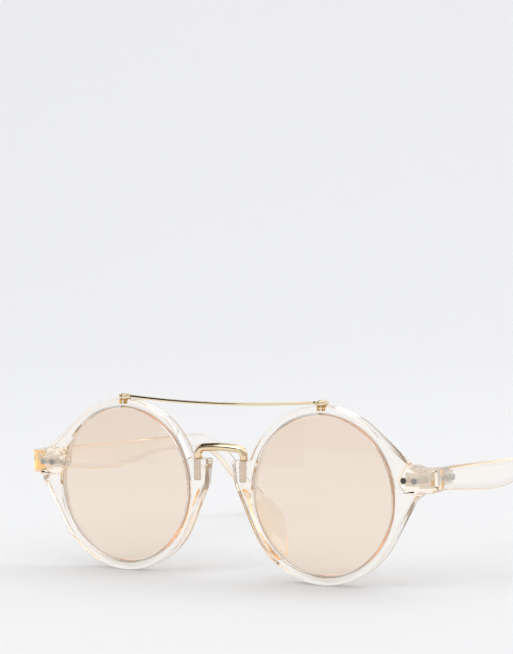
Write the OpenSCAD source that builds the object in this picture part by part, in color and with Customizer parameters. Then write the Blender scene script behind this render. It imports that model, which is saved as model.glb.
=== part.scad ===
// Round sunglasses: two clear rims joined by a gilt saddle bridge and a gilt brow bar,
// tinted lenses, nose pads, three-barrel hinges and folding temples.
// Millimetres. +Z is up, the lenses face -Y, and +X is the wearer's left.
// Inside the modules the origin is midway between the lens centres; placed() then stands
// the frame on z = 0 with the origin under the middle of its box.

/* [Lenses and rims] */
// Diameter of a lens at its edge
lens_d = 49; // [46:0.5:50]
// Shortest distance between the two lenses
bridge_w = 22.3; // [21.5:0.1:24]
// Radial width of the rim outside the lens edge
rim_w = 2.3; // [2.2:0.1:2.8]
// Thickness of the rims from front to back
rim_t = 4.4; // [4.2:0.1:5]
// Radius of the lenses' front surface
lens_curve_r = 265; // [200:5:500]
// Thickness of the lenses
lens_t = 1.8; // [1.5:0.1:2]

/* [Temples] */
// Outer width over the temples
frame_w = 145; // [144:0.5:150]
// Thickness of a temple at the hinge
temple_t = 4; // [3.8:0.1:4.4]
// Length of the straight part of a temple
temple_straight = 86; // [80:1:90]
// Angle that the ear end turns down by
ear_bend = 40; // [35:1:45]

/* [Metalwork] */
// Thickness of the saddle bridge's round bar
bridge_bar_d = 2.5; // [2:0.1:2.6]
// Height of the brow bar's strip
brow_h = 0.9; // [0.7:0.1:1.2]
// How far the middle of the brow bar hangs below its ends
brow_dip = 1.4; // [0.5:0.1:1.8]

/* [Hidden] */
$fn = 96;
gap = 0.02;                                // clearance round a pressed or glued metal piece

lens_x = (lens_d + bridge_w) / 2;          // lens centre from the middle of the frame
opening_r = lens_d / 2 - 0.5;              // clear opening of a rim
groove_r = lens_d / 2 + 0.2;               // bottom of the lens groove
groove_floor = 0.5;                        // half width of the groove at its bottom
groove_mouth = 0.95;                       // and at its mouth
rim_r = lens_d / 2 + rim_w;                // outside of a rim
front_y = -2;                              // front face of the rims
back_y = front_y + rim_t;                  // back face of the rims
lens_y = 0.3;                              // plane of the lens edges
side_x = frame_w / 2;                      // outer side of the end pieces and temples

end_top = 9.4;                             // top of an end piece
end_bottom = 2.2;                          // bottom of an end piece
end_back_y = 6;                            // where an end piece meets its temple
end_corner_r = 5;                          // rounded corner from the front to the side
end_fillet_r = 7;                          // hollow where the rim runs into the end piece
upper_tangent = 50;                        // where the end piece leaves the rim, above the lens axis
lower_tangent = -30;                       // and below it
block_r = 4.4;                             // round inner end of the hinge block
block_x = side_x - 7.6;
mid_z = (end_top + end_bottom) / 2;        // height of the hinge's middle

lug_x = 4.5;                               // nose side of a bridge lug at its top
lug_low_x = 5.2;                           // and at its foot
lug_top = 9.3;
lug_foot = 2;
lug_tangent = 204;                         // where the lug's edge leaves the rim

leg_x = 8.2;                               // bridge legs
leg_w = 2.2;
leg_d = 1.5;
leg_bottom = 2.6;
bridge_y = -0.4;
bridge_arch_r = 60;
bridge_bend_r = 2.2;
bridge_collar_h = 1.2;                     // straight part above each lug
bridge_pin_z = 6.8;
bridge_pin_r = 0.7;

brow_y = 0.2;                              // the brow bar's fixing points
brow_d = 1.7;                              // its depth from front to back
brow_bow = 1.1;                            // how far its middle stands forward
brow_pad_r = 2;
brow_pad_t = 1.4;
bush_r = 1.5;
bush_len = 1.6;
brow_screw_r = 0.6;

hinge_x = side_x - 5.4;                    // axis of a hinge
hinge_y = 7.4;
knuckle_r = 1.25;
knuckle_h = 1.7;
knuckle_gap = 0.05;
hinge_screw_r = 0.7;
plate_h = 4;                               // height of both hinge plates
plate_t = 1.2;
front_plate_x = side_x - 10.2;             // inner end of the plate in the end piece
front_plate_y = 4.4;                       // front of that plate
pin_r = 0.9;                               // hinge pins, set in the clear plastic
front_pin_x = [side_x - 9.1, side_x - 5.6];
front_pin_y = -1.4;
temple_plate_end = 15.5;
temple_pin_y = [10.6, 13.6];
temple_pin_x = side_x - 0.9;

temple_y = end_back_y + 0.1;               // front end of a temple
temple_slope = 2.2;                        // fall of a temple towards the ear, degrees
temple_top = end_top - 0.2;
slim_h = 4.6;                              // height of the slim part of a temple
root_belly = 2.2;                          // extra height below it at the hinge
belly = 4.1;                               // extra height below it at the deepest place
belly_at = 37;
belly_end = 70;
ear_r = 30;                                // radius of the ear bend
tip_h = 6.2;                               // height of the rounded tip
tip_inset = 4;                             // how far the tip curves inwards
inset_from = 88;
slim_t = 3.2;                              // thickness of the slim part

tilt = -temple_slope;
bend_end = tilt - ear_bend;
centre_z0 = temple_top - slim_h / 2;
bend_y = temple_y + temple_straight * cos(tilt);
bend_z = centre_z0 + temple_straight * sin(tilt);
bend_len = ear_r * ear_bend * PI / 180;
hook_y = bend_y + ear_r * (sin(-bend_end) - sin(-tilt));
hook_z = bend_z - ear_r * (cos(tilt) - cos(bend_end));
hook_len = (hook_z + rim_r - tip_h / 2) / sin(-bend_end);   // brings the tip down to the rims' level
temple_len = temple_straight + bend_len + hook_len;
tip_y = hook_y + hook_len * cos(bend_end);                  // centre of the round tip
depth_mid = (front_y + tip_y + tip_h / 2) / 2;

// points along an arc
function arc(centre, r, from, to, n = 12) =
    [for (i = [0:n]) centre + r * [cos(from + (to - from) * i / n), sin(from + (to - from) * i / n)]];
// 0 at the start, 1 at the end, level at both
function ease(t) = (1 - cos(180 * min(max(t, 0), 1))) / 2;

// ---- placing ----

module placed() translate([0, -depth_mid, rim_r]) children();
module placed_right() placed() mirror([1, 0, 0]) children();
// extrudes a front view, drawn as x and z, from y0 back to y1
module front_view(y0, y1) translate([0, y1, 0]) rotate([90, 0, 0]) linear_extrude(y1 - y0) children();
// stands a shape of revolution, turned about z, along y
module about_lens() translate([lens_x, 0, 0]) rotate([-90, 0, 0]) children();

// ---- rims ----

// Outline of a rim seen from the front, about its lens centre: from the lower tangent round the end
// piece to the upper one, over the top to the bridge lug, and back along the bottom.
function rim_outline() =
    let (
        up = rim_r * [cos(upper_tangent), sin(upper_tangent)],
        low = rim_r * [cos(lower_tangent), sin(lower_tangent)],
        meet_u = up[0] + (up[1] - end_top) * tan(upper_tangent),
        fall = 90 - upper_tangent,
        fillet_u = meet_u + end_fillet_r * tan(fall / 2),
        foot_u = low[0] + (end_bottom - low[1]) * tan(-lower_tangent),
        out_u = side_x - lens_x,
        lug_angle = 180 - asin(lug_top / rim_r)
    )
    concat(
        [[foot_u, end_bottom], [out_u, end_bottom], [out_u, end_top]],
        arc([fillet_u, end_top + end_fillet_r], end_fillet_r, 270, 270 - fall),
        arc([0, 0], rim_r, upper_tangent, lug_angle, 36),
        [[lug_x - lens_x, lug_top], [lug_low_x - lens_x, lug_foot]],
        arc([0, 0], rim_r, lug_tangent, 360 + lower_tangent, 42)
    );

// the raised block that the hinge sits in, with a round inner end
module block_outline() {
    intersection() {
        polygon(rim_outline());
        polygon(concat(
            arc([block_x - lens_x, mid_z], block_r, 90, 270, 24),
            [[side_x - lens_x + 1, mid_z - block_r], [side_x - lens_x + 1, mid_z + block_r]]
        ));
    }
}

// seen from above, the end piece turns the corner into the temple
module end_plan() {
    linear_extrude(4 * rim_r, center = true)
        polygon(concat(
            [[-1, front_y - 1], [side_x - end_corner_r, front_y - 1]],
            arc([side_x - end_corner_r, front_y + end_corner_r], end_corner_r, -90, 0, 16),
            [[side_x, end_back_y], [-1, end_back_y]]
        ));
}

module lens_seat() {
    about_lens()
        rotate_extrude()
            polygon([
                [0, front_y - 1], [opening_r + 1.6, front_y - 1], [opening_r, front_y + 0.6],
                [opening_r, lens_y - groove_mouth], [groove_r, lens_y - groove_floor],
                [groove_r, lens_y + groove_floor], [opening_r, lens_y + groove_mouth],
                [opening_r, end_back_y + 1], [0, end_back_y + 1]
            ]);
}

module hinge_pocket() {
    arms_h = 3 * knuckle_h;
    arms_y = front_plate_y + plate_t / 2;
    translate([front_plate_x - gap, front_plate_y - gap, mid_z - plate_h / 2 - gap])
        cube([hinge_x + knuckle_r - front_plate_x + 2 * gap, end_back_y, plate_h + 2 * gap]);
    translate([hinge_x - knuckle_r - gap, arms_y - gap, mid_z - arms_h / 2])
        cube([2 * knuckle_r + 2 * gap, end_back_y, arms_h]);
    for (x = front_pin_x) pin_between([x, front_pin_y - gap, mid_z], [0, 1, 0], front_plate_y - front_pin_y, pin_r + gap);
}

module rim() {
    color("white", 0.4)
        difference() {
            intersection() {
                union() {
                    front_view(front_y, back_y) translate([lens_x, 0]) polygon(rim_outline());
                    front_view(front_y + 1, end_back_y) translate([lens_x, 0]) block_outline();
                }
                end_plan();
            }
            lens_seat();
            hinge_pocket();
            bridge_leg(gap);
            bridge_pin(gap);
            brow_bush_hole();
        }
}

// ---- lenses ----

module lens() {
    edge_r = lens_d / 2 + 0.1;
    face_r = opening_r - 0.4;
    sag = lens_curve_r - sqrt(pow(lens_curve_r, 2) - pow(face_r, 2));
    back_r = lens_curve_r - lens_t;
    vertex = lens_y - lens_t / 2 - sag;
    steps = 10;
    face = [for (i = [0:steps]) let (r = face_r * i / steps)
        [r, vertex + lens_curve_r - sqrt(pow(lens_curve_r, 2) - r * r)]];
    back = [for (i = [steps:-1:0]) let (r = face_r * i / steps)
        [r, vertex + lens_curve_r - sqrt(pow(back_r, 2) - r * r)]];
    color("bisque", 0.6)
        about_lens() rotate_extrude()
            polygon(concat(face, [[edge_r, lens_y - 0.2], [edge_r, lens_y + 0.2]], back));
}

// ---- nose pads ----

// A pad is a fin on the back of the rim. Its base follows the rim's nose side and its free edge
// stands back and away from the nose. t runs down the pad, from 0 to 1.
pad_top = 0.5;
pad_low = -20.5;
pad_steps = 14;
pad_base_t = 2.4;
pad_edge_t = 1.3;
pad_depth = 8.8;
pad_splay = 26;

function nose_side(z) =
    let (tangent_z = rim_r * sin(lug_tangent))
    z < tangent_z ? lens_x - sqrt(rim_r * rim_r - z * z)
                  : lens_x + rim_r * cos(lug_tangent) - (z - tangent_z) * tan(lug_tangent - 180);
function pad_reach(t) = 1 + (pad_depth - 1) * pow(sin(180 * pow(t, 0.85)), 0.75);
// one ring of the fin: base corner, nose face, rounded free edge, lens face, base corner
function pad_ring(t) =
    let (
        z = pad_top + (pad_low - pad_top) * t,
        x0 = nose_side(z) + 0.2,
        reach = pad_reach(t),
        half = pad_edge_t / 2,
        along = [sin(pad_splay), cos(pad_splay)],
        across = [cos(pad_splay), -sin(pad_splay)],
        edge = [x0 + half, back_y] + reach * along,
        nose_end = edge - half * across,
        lens_end = edge + half * across
    )
    concat(
        [[x0, back_y, z], [nose_end[0], nose_end[1], z]],
        [for (a = [45, 90, 135]) let (p = edge - half * cos(a) * across + half * sin(a) * along) [p[0], p[1], z]],
        [[lens_end[0], lens_end[1], z], [x0 + pad_base_t, back_y, z]]
    );

module nose_pad() {
    ring = 7;
    points = [for (i = [0:pad_steps]) each pad_ring(i / pad_steps)];
    sides = [for (i = [0:pad_steps - 1], k = [0:ring - 1])
        let (a = i * ring + k, b = i * ring + (k + 1) % ring)
        [a, b, b + ring, a + ring]];
    top = [[for (k = [ring - 1:-1:0]) k]];
    bottom = [[for (k = [0:ring - 1]) pad_steps * ring + k]];
    color("white", 0.4) polyhedron(points, concat(top, sides, bottom), convexity = 4);
}

// ---- saddle bridge ----

module pin_between(start, along, length, r) {
    turn = along[1] != 0 ? [-90 * along[1], 0, 0] : along[0] != 0 ? [0, 90 * along[0], 0] : [0, 0, 0];
    translate(start) rotate(turn) cylinder(h = length, r = r);
}

module bridge_leg(grow = 0) {
    translate([leg_x - leg_w / 2 - grow, bridge_y - leg_d / 2 - grow, leg_bottom - grow])
        cube([leg_w + 2 * grow, leg_d + 2 * grow, lug_top - leg_bottom + grow + (grow > 0 ? 1 : 0)]);
}

module bridge_pin(grow = 0) {
    pin_between([leg_x, back_y - 0.2 + (grow > 0 ? 1 : 0), bridge_pin_z], [0, -1, 0],
        back_y - 0.2 - bridge_y + (grow > 0 ? 1 : 0), bridge_pin_r + grow);
}

module bar_arc(centre, r, from, to, d = bridge_bar_d) {
    translate([centre[0], bridge_y, centre[1]]) rotate([90, 0, 0]) rotate([0, 0, from])
        rotate_extrude(angle = to - from) translate([r, 0]) circle(d = d, $fn = 48);
}

// one leg, sunk in its lug, with the collar and the bend above it
module bridge_side(arch_x, swing) {
    bend_z = lug_top + bridge_collar_h;
    bar_arc([arch_x, bend_z], bridge_bend_r, 0, 90 - swing);
    translate([leg_x, bridge_y, lug_top]) cylinder(h = bridge_collar_h, d = bridge_bar_d, $fn = 48);
    difference() {
        bridge_leg();
        bridge_pin(gap);
    }
}

module bridge() {
    arch_x = leg_x - bridge_bend_r;
    inner_r = bridge_arch_r - bridge_bend_r;
    swing = asin(arch_x / inner_r);
    arch_z = lug_top + bridge_collar_h - inner_r * cos(swing);
    color("gold") {
        // a hair thinner than the bends, and run a little way into them
        bar_arc([0, arch_z], bridge_arch_r, 90 - swing - 0.3, 90 + swing + 0.3, bridge_bar_d - 0.1);
        bridge_side(arch_x, swing);
        mirror([1, 0, 0]) bridge_side(arch_x, swing);
    }
}

module bridge_pins() {
    color("goldenrod") {
        bridge_pin();
        mirror([1, 0, 0]) bridge_pin();
    }
}

// ---- brow bar ----

module brow_bush() {
    color("goldenrod")
        translate([lens_x, brow_y, 0])
            difference() {
                translate([0, 0, rim_r - bush_len]) cylinder(h = bush_len, r = bush_r);
                translate([0, 0, rim_r - bush_len + 0.4]) cylinder(h = bush_len, r = brow_screw_r + gap, $fn = 48);
            }
}

module brow_bush_hole() {
    translate([lens_x, brow_y, rim_r - bush_len - gap]) cylinder(h = bush_len + 1, r = bush_r + gap);
}

// middle line of the strip at x: how far forward, and how far down
function brow_at(x) =
    let (s = 1 - pow(x / lens_x, 2))
    [x, brow_y - brow_bow * s, rim_r + brow_pad_t - brow_h / 2 - brow_dip * s];

module brow_bar() {
    n = 36;
    reach = lens_x - brow_pad_r * 0.6;
    points = [for (i = [0:n]) let (p = brow_at(-reach + 2 * reach * i / n))
        each [for (a = [-1, 1], b = [-1, 1]) p + [0, a * brow_d / 2, a * b * brow_h / 2]]];
    sides = [for (i = [0:n - 1], k = [0:3])
        let (a = i * 4 + k, b = i * 4 + (k + 1) % 4)
        [a, a + 4, b + 4, b]];
    color("gold")
        difference() {
            union() {
                polyhedron(points, concat([[0, 1, 2, 3]], sides, [[4 * n + 3, 4 * n + 2, 4 * n + 1, 4 * n]]), convexity = 4);
                for (s = [-1, 1]) translate([s * lens_x, brow_y, rim_r]) cylinder(h = brow_pad_t, r = brow_pad_r, $fn = 64);
            }
            for (s = [-1, 1]) translate([s * lens_x, brow_y, rim_r - 1])
                cylinder(h = brow_pad_t + 2, r = brow_screw_r + gap, $fn = 48);
        }
}

module brow_screws() {
    color("goldenrod")
        for (s = [-1, 1]) translate([s * lens_x, brow_y, 0]) {
            translate([0, 0, rim_r - bush_len + 0.6]) cylinder(h = bush_len - 0.6 + brow_pad_t, r = brow_screw_r, $fn = 48);
            translate([0, 0, rim_r + brow_pad_t]) cylinder(h = 0.1, r = 1.3, $fn = 48);
            translate([0, 0, rim_r + brow_pad_t + 0.1]) cylinder(h = 0.2, r1 = 1.3, r2 = 0.8, $fn = 48);
        }
}

// ---- hinges ----

module knuckle(level, bore) {
    z = mid_z + level * knuckle_h;
    h = knuckle_h - 2 * knuckle_gap;
    translate([hinge_x, hinge_y, z - h / 2])
        difference() {
            cylinder(h = h, r = knuckle_r, $fn = 64);
            translate([0, 0, -1]) cylinder(h = h + 2, r = bore, $fn = 48);
        }
}

module front_hinge() {
    color("silver") {
        translate([front_plate_x, front_plate_y, mid_z - plate_h / 2])
            cube([hinge_x + knuckle_r - front_plate_x, plate_t, plate_h]);
        for (level = [-1, 1]) {
            arm_h = knuckle_h - 2 * knuckle_gap;
            arm_z = mid_z + level * knuckle_h;
            knuckle(level, hinge_screw_r + gap);
            difference() {
                translate([hinge_x - knuckle_r, front_plate_y + plate_t / 2, arm_z - arm_h / 2])
                    cube([2 * knuckle_r, hinge_y - front_plate_y - plate_t / 2, arm_h]);
                translate([hinge_x, hinge_y, arm_z - arm_h]) cylinder(h = 2 * arm_h, r = knuckle_r - 0.2, $fn = 64);
            }
        }
    }
}

module front_hinge_pins() {
    color("dimgray")
        for (s = [0, 1]) mirror([s, 0, 0])
            for (x = front_pin_x)
                pin_between([x, front_pin_y, mid_z], [0, 1, 0], front_plate_y - front_pin_y, pin_r);
}

module hinge_screw() {
    stack = 3 * knuckle_h / 2;
    color("silver") {
        translate([hinge_x, hinge_y, mid_z - stack]) cylinder(h = 2 * stack, r = hinge_screw_r, $fn = 48);
        difference() {
            translate([hinge_x, hinge_y, mid_z + stack]) cylinder(h = 0.5, r = 1.15, $fn = 48);
            translate([hinge_x - 2, hinge_y - 0.15, mid_z + stack + 0.25]) cube([4, 0.3, 1]);
        }
    }
}

module temple_hinge() {
    plate_x = side_x - temple_t - plate_t;
    h = knuckle_h - 2 * knuckle_gap;
    start_y = hinge_y + knuckle_r + 0.1;
    color("silver") {
        translate([plate_x, start_y, mid_z - plate_h / 2]) cube([plate_t, temple_plate_end - start_y, plate_h]);
        knuckle(0, hinge_screw_r + 0.05);
        difference() {
            translate([plate_x, hinge_y, mid_z - h / 2]) cube([hinge_x + knuckle_r - plate_x, start_y - hinge_y + 0.2, h]);
            translate([hinge_x, hinge_y, mid_z - h]) cylinder(h = 2 * h, r = knuckle_r - 0.2, $fn = 64);
        }
    }
}

module temple_pins() {
    start_x = side_x - temple_t;
    color("dimgray")
        for (y = temple_pin_y) pin_between([start_x, y, mid_z], [1, 0, 0], temple_pin_x - start_x, pin_r);
}

// ---- temples ----

// extra height under the slim line, at a length s from the temple's front end
function belly_at_len(s) =
    s < belly_at ? root_belly + (belly - root_belly) * ease(s / belly_at)
                 : belly * (1 - ease((s - belly_at) / (belly_end - belly_at)));
function half_h(s) = slim_h / 2 + (tip_h - slim_h) / 2 * ease((s - temple_straight) / (temple_len - temple_straight));
// heading and place of the temple's middle line at a length s
function heading(s) =
    s < temple_straight ? tilt
    : s < temple_straight + bend_len ? tilt - ear_bend * (s - temple_straight) / bend_len
    : bend_end;
function middle(s) =
    s < temple_straight ? [temple_y + s * cos(tilt), centre_z0 + s * sin(tilt)]
    : s < temple_straight + bend_len
        ? [bend_y + ear_r * (sin(-heading(s)) - sin(-tilt)), bend_z - ear_r * (cos(tilt) - cos(heading(s)))]
    : [hook_y, hook_z] + (s - temple_straight - bend_len) * [cos(bend_end), sin(bend_end)];
function above(s) = middle(s) + half_h(s) * [-sin(heading(s)), cos(heading(s))];
function below(s) = middle(s) - (half_h(s) + belly_at_len(s)) * [-sin(heading(s)), cos(heading(s))];

module temple_side() {
    belly_steps = 20;
    ear_steps = 16;
    ear_s = [for (i = [0:ear_steps]) temple_straight + (temple_len - temple_straight) * i / ear_steps];
    top_edge = concat([[temple_y, above(0)[1]]], [for (s = ear_s) above(s)]);
    low_edge = concat(
        [for (i = [ear_steps:-1:0]) below(ear_s[i])],
        [for (i = [belly_steps:-1:1]) below(belly_end * i / belly_steps)],
        [[temple_y, below(0)[1]]]
    );
    tip = arc(middle(temple_len), half_h(temple_len), bend_end + 90, bend_end - 90, 16);
    polygon(concat(top_edge, [for (i = [1:15]) tip[i]], low_edge));
}

module temple_plan() {
    steps = 10;
    end_y = tip_y + tip_h;
    inset = [for (i = [0:steps]) let (t = i / steps) [inset_from + (end_y - inset_from) * t, tip_inset * t * t]];
    polygon(concat(
        [[side_x, temple_y]],
        [for (p = inset) [side_x - p[1], p[0]]],
        [for (i = [steps:-1:0]) [side_x - slim_t - inset[i][1], inset[i][0]]],
        [[side_x - temple_t, temple_plate_end + 4], [side_x - temple_t, temple_y]]
    ));
}

module temple() {
    color("white", 0.4)
        difference() {
            intersection() {
                translate([side_x + 1, 0, 0]) rotate([0, -90, 0]) linear_extrude(temple_t + tip_inset + 6)
                    mirror([1, -1]) temple_side();
                translate([0, 0, -rim_r - 1]) linear_extrude(2 * rim_r) temple_plan();
            }
            for (y = temple_pin_y)
                pin_between([side_x - temple_t - 1, y, mid_z], [1, 0, 0], temple_pin_x - side_x + temple_t + 1 + gap, pin_r + gap);
        }
}

placed() rim();  // left_rim
placed_right() rim();  // right_rim
placed() lens();  // left_lens
placed_right() lens();  // right_lens
placed() nose_pad();  // left_nose_pad
placed_right() nose_pad();  // right_nose_pad
placed() bridge();
placed() bridge_pins();
placed() brow_bar();
placed() brow_bush();  // left_brow_bush
placed_right() brow_bush();  // right_brow_bush
placed() brow_screws();
placed() front_hinge();  // left_front_hinge
placed_right() front_hinge();  // right_front_hinge
placed() front_hinge_pins();
placed() hinge_screw();  // left_hinge_screw
placed_right() hinge_screw();  // right_hinge_screw
placed() temple();  // left_temple
placed_right() temple();  // right_temple
placed() temple_hinge();  // left_temple_hinge
placed_right() temple_hinge();  // right_temple_hinge
placed() temple_pins();  // left_temple_pins
placed_right() temple_pins();  // right_temple_pins
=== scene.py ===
"""Round sunglasses: clear moulded rims and temples, pale tinted lenses and gilt metalwork."""
import math

import bmesh
import bpy
import numpy as np
from mathutils import Matrix, Vector


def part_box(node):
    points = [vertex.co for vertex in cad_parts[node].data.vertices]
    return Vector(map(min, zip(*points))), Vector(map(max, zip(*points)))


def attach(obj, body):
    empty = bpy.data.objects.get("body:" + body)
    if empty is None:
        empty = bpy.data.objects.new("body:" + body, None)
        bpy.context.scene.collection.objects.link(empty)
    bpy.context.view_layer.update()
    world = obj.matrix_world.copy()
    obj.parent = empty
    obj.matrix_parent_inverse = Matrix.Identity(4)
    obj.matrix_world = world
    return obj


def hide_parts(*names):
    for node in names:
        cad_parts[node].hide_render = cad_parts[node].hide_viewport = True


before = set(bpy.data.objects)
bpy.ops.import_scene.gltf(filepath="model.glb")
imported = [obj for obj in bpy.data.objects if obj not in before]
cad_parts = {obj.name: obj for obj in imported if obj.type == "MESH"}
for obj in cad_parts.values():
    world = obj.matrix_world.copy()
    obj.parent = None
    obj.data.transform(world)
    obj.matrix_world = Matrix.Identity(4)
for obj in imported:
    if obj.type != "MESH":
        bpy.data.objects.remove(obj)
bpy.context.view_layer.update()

bl_info = {
    "name": "Round sunglasses",
    "version": (1, 0, 0),
    "blender": (4, 5, 0),
    "location": "View3D > Sidebar > Sunglasses",
    "description": "Builds the plastic, the lenses and the metalwork of round sunglasses round their frame",
    "category": "Add Mesh",
}

MM = 0.001
VIEW_AHEAD = Vector((-0.5269, 0.8499))           # the way the camera looks, level with the floor
SIDES = {"left": 1, "right": -1}
FINISH_NAME = "sunglasses "                      # starts the name of each material made here
MERGE = 1e-6                                     # points nearer than this, in metres, are one
SHARP = math.radians(38)                         # edges sharper than this stay sharp
CAMERA_PLACE = (389.14, -606.31, 87.13)          # in millimetres from the local origin
CAMERA_RIGHT = Vector((0.8502, 0.5262, -0.0161))
CAMERA_AHEAD = Vector((-0.5262, 0.8488, -0.0523))
SECTION_POINTS = 48                              # points round a swept section
OUTLINE_POINTS = 620                             # points round a rim
FACE_RINGS = 24                                  # rings across a rim's front and back
X_AXIS, Y_AXIS, Z_AXIS = np.eye(3)


def box_mm(node):
    """The lowest and highest corner of a node of the frame, in millimetres."""
    low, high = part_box(node)
    return np.array(low) / MM, np.array(high) / MM


# ---- places taken from the frame, in millimetres ----

lens_low, lens_high = box_mm("left_lens")
rim_low, rim_high = box_mm("left_rim")
hinge_low, hinge_high = box_mm("left_front_hinge")
temple_low, temple_high = box_mm("left_temple")
pad_low, pad_high = box_mm("left_nose_pad")
bridge_low = box_mm("bridge")[0]
bush_low, bush_high = box_mm("left_brow_bush")
bridge_pin_low, bridge_pin_high = box_mm("bridge_pins")

LENS_X = (lens_low[0] + lens_high[0]) / 2
LENS_EDGE_R = (lens_high[0] - lens_low[0]) / 2
RIM_R = (lens_low[2] + lens_high[2]) / 2 - rim_low[2]
SIDE_X = rim_high[0]                             # outer side of the end pieces and temples
FRONT_Y = -2.0                                   # local place of the rims' front face
END_BACK_Y = FRONT_Y + rim_high[1] - rim_low[1]
LUG_X = rim_low[0]                               # nose side of a bridge lug
# local places are measured from the middle of the frame, 2 mm behind its front, at the lens centres' level
ORIGIN = np.array([0.0, rim_low[1] - FRONT_Y, (lens_low[2] + lens_high[2]) / 2])
HINGE_Z = (hinge_low[2] + hinge_high[2]) / 2 - ORIGIN[2]
TEMPLE_Y = temple_low[1] - ORIGIN[1]
TEMPLE_TOP = temple_high[2] - ORIGIN[2]


# ---- meshes ----

def ease(t):
    """0 at the start and 1 at the end, level at both: half a cosine wave."""
    return (1 - np.cos(np.pi * np.clip(t, 0, 1))) / 2


def smooth(mesh, sharp_angle):
    """Shades a mesh smooth up to an angle."""
    mesh.polygons.foreach_set("use_smooth", np.ones(len(mesh.polygons), bool))
    mesh.set_sharp_from_angle(angle=sharp_angle)


def tidy_mesh(mesh, sharp_angle):
    """Merges poles and seams, turns every face outwards, and shades smooth up to an angle."""
    work = bmesh.new()
    work.from_mesh(mesh)
    bmesh.ops.remove_doubles(work, verts=work.verts, dist=MERGE)
    bmesh.ops.dissolve_degenerate(work, edges=work.edges, dist=MERGE / 10)
    bmesh.ops.recalc_face_normals(work, faces=work.faces)
    work.to_mesh(mesh)
    work.free()
    smooth(mesh, sharp_angle)
    mesh.update()


def grid_quads(rows, cols, first):
    """Quads of a grid that closes on itself along its columns."""
    row, col = np.meshgrid(np.arange(rows - 1), np.arange(cols), indexing="ij")
    here = first + row * cols + col
    beside = first + row * cols + (col + 1) % cols
    return np.stack([here, beside, beside + cols, here + cols], -1).reshape(-1, 4)


def add_object(name, data):
    """Puts a new object into the scene."""
    made = bpy.data.objects.new(name, data)
    bpy.context.scene.collection.objects.link(made)
    return made


def make_piece(name, grids, side=1, sharp=SHARP):
    """One object from closed grids of local points, each (rings, points round, 3)."""
    points, quads, first = [], [], 0
    for grid in grids:
        rows, cols = grid.shape[:2]
        points.append(grid.reshape(-1, 3))
        quads.append(grid_quads(rows, cols, first))
        first += rows * cols
    points = (np.concatenate(points) * (side, 1, 1) + ORIGIN) * MM
    quads = np.concatenate(quads)
    mesh = bpy.data.meshes.new(name)
    mesh.from_pydata(points, [], quads)
    tidy_mesh(mesh, sharp)
    piece = add_object(name, mesh)
    flatten(piece)
    return piece


def flatten(piece):
    """Weighs normals by area, so that large flat faces stay optically flat."""
    normals = piece.modifiers.new("normals", "WEIGHTED_NORMAL")
    normals.mode, normals.weight, normals.keep_sharp = "FACE_AREA", 50, True


def place_piece(piece, body, slot, finish, *nodes):
    """Gives a piece its finish, body and the nodes that it stands for. The slot is not used."""
    piece.data.materials.clear()
    piece.data.materials.append(finish)
    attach(piece, body)
    if nodes:
        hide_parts(*nodes)


def revolve(profile, count=96):
    """A profile of (radius, height) turned about the z axis, with its ends closed on the axis."""
    turn = np.linspace(0, 2 * np.pi, count, endpoint=False)
    radius, height = profile[:, 0, None], profile[:, 1, None]
    flat = np.ones_like(turn)
    return np.stack([radius * np.cos(turn), radius * np.sin(turn), height * flat], -1)


def stand_along_y(grid):
    """Turns a shape made about z so that its axis runs back along y."""
    return np.stack([grid[..., 0], grid[..., 2], -grid[..., 1]], -1)


def pin_profile(radius, length, round_r, steps=5):
    """A pin with rounded ends: straight, with a quarter circle of round_r at each rim."""
    turn = np.linspace(0, np.pi / 2, steps)
    low = np.stack([radius - round_r * (1 - np.sin(turn)), round_r * (1 - np.cos(turn))], -1)
    high = np.stack([low[::-1, 0], length - low[::-1, 1]], -1)
    return np.concatenate([[[0, 0]], low, high, [[0, length]]])


def sweep(path, side, up, half_side, half_up, power):
    """A rounded section carried along a path. The section is a superellipse,
    |a / half_side|^power + |b / half_up|^power = 1, laid along the directions side and up."""
    turn = np.linspace(0, 2 * np.pi, SECTION_POINTS, endpoint=False)
    side, up = np.broadcast_to(side, path.shape), np.broadcast_to(up, path.shape)
    power = np.broadcast_to(np.asarray(power, float), half_side.shape)[:, None]
    across = np.sign(np.cos(turn)) * np.abs(np.cos(turn)) ** (2 / power) * half_side[:, None]
    along = np.sign(np.sin(turn)) * np.abs(np.sin(turn)) ** (2 / power) * half_up[:, None]
    return path[:, None] + across[..., None] * side[:, None] + along[..., None] * up[:, None]


def close_ends(grid):
    """Adds a ring at each end, shrunk to the middle of its neighbour."""
    first, last = (np.broadcast_to(grid[k].mean(0), grid[k].shape)[None] for k in (0, -1))
    return np.concatenate([first, grid, last])


def even_points(points, count):
    """Points evenly spaced along a closed line, and the line's length."""
    loop = np.concatenate([points, points[:1]])
    run = np.concatenate([[0], np.cumsum(np.hypot(*np.diff(loop, axis=0).T))])
    at = np.linspace(0, run[-1], count, endpoint=False)
    return np.stack([np.interp(at, run, loop[:, k]) for k in (0, 1)], -1), run[-1]


def soften(points, spread, count, fine=4096):
    """Rounds the corners of a closed line: a Gaussian average along it, spread wide."""
    even, run = even_points(points, fine)
    wave = np.fft.fft(even[:, 0] + 1j * even[:, 1])
    rate = np.fft.fftfreq(fine, run / fine)
    line = np.fft.ifft(wave * np.exp(-0.5 * (2 * np.pi * rate * spread) ** 2))
    return even_points(np.stack([line.real, line.imag], -1), count)[0]


def outward(points):
    """Unit normals of a closed line that runs anticlockwise."""
    step = np.roll(points, -1, 0) - np.roll(points, 1, 0)
    step /= np.hypot(*step.T)[:, None]
    return np.stack([step[:, 1], -step[:, 0]], -1)


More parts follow.
